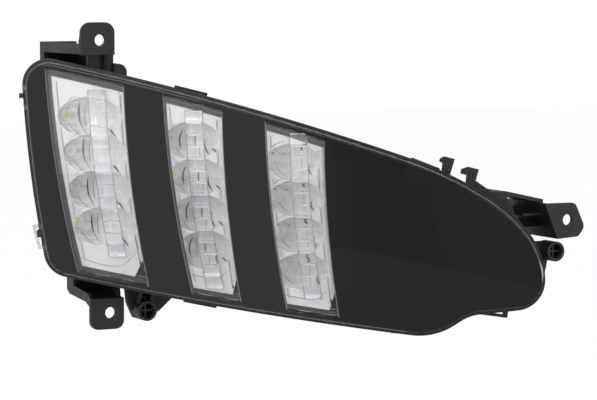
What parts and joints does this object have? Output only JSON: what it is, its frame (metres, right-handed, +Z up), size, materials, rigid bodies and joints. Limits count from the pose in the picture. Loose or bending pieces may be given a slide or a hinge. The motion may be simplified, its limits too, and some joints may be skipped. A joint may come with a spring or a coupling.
{
  "type": "daytime running light",
  "caption": "Swept teardrop car daytime running light: gloss black lens with slanted clear windows over stacked LED reflector bowls, in a black housing with screw tabs, hooks and bosses.",
  "frame": {"origin": "centre of the upper tab's screw hole, on the tab's front face", "axes": "+X towards the centreline of the car, +Y to the rear of the car, +Z up"},
  "size_m": [0.3023, 0.1699, 0.1784],
  "materials": {
    "bezel_grey": "satin dark grey moulding",
    "screw_zinc": "zinc plated",
    "pin_tin": "tinned",
    "seal_rubber": "soft sealing bead",
    "board_green": "solder mask",
    "capacitor_metal": "drawn can",
    "chip_black": "moulded package",
    "coil_grey": "ferrite",
    "sink_aluminium": "extruded",
    "housing_black": "fine grained black moulding",
    "board_white": "white solder mask on aluminium",
    "led_yellow": "phosphor",
    "led_body": "white package",
    "lens_black": "gloss black second shot",
    "lens_clear": "clear moulded polycarbonate",
    "cover_black": "fine grained black moulding",
    "reflector_silver": "vacuum metallised",
    "vent_rubber": "soft cap"
  },
  "bodies": {
    "root": {"bezel": "bezel_grey", "bezel_screws": "screw_zinc", "board_screws": "screw_zinc", "connector_pins": "pin_tin", "cover_gasket": "seal_rubber", "cover_screws": "screw_zinc", "driver_board": "board_green", "driver_capacitors": "capacitor_metal", "driver_chips": "chip_black", "driver_coil": "coil_grey", "heat_sink_1": "sink_aluminium", "heat_sink_2": "sink_aluminium", "heat_sink_3": "sink_aluminium", "housing": "housing_black", "led_board_1": "board_white", "led_board_2": "board_white", "led_board_3": "board_white", "led_phosphors_1": "led_yellow", "led_phosphors_2": "led_yellow", "led_phosphors_3": "led_yellow", "leds_1": "led_body", "leds_2": "led_body", "leds_3": "led_body", "lens_black": "lens_black", "lens_clear": "lens_clear", "lens_seal": "seal_rubber", "rear_cover": "cover_black", "reflector_1": "reflector_silver", "reflector_2": "reflector_silver", "reflector_3": "reflector_silver", "reflector_screws": "screw_zinc", "vent_cap": "vent_rubber"}
  },
  "joints": []
}
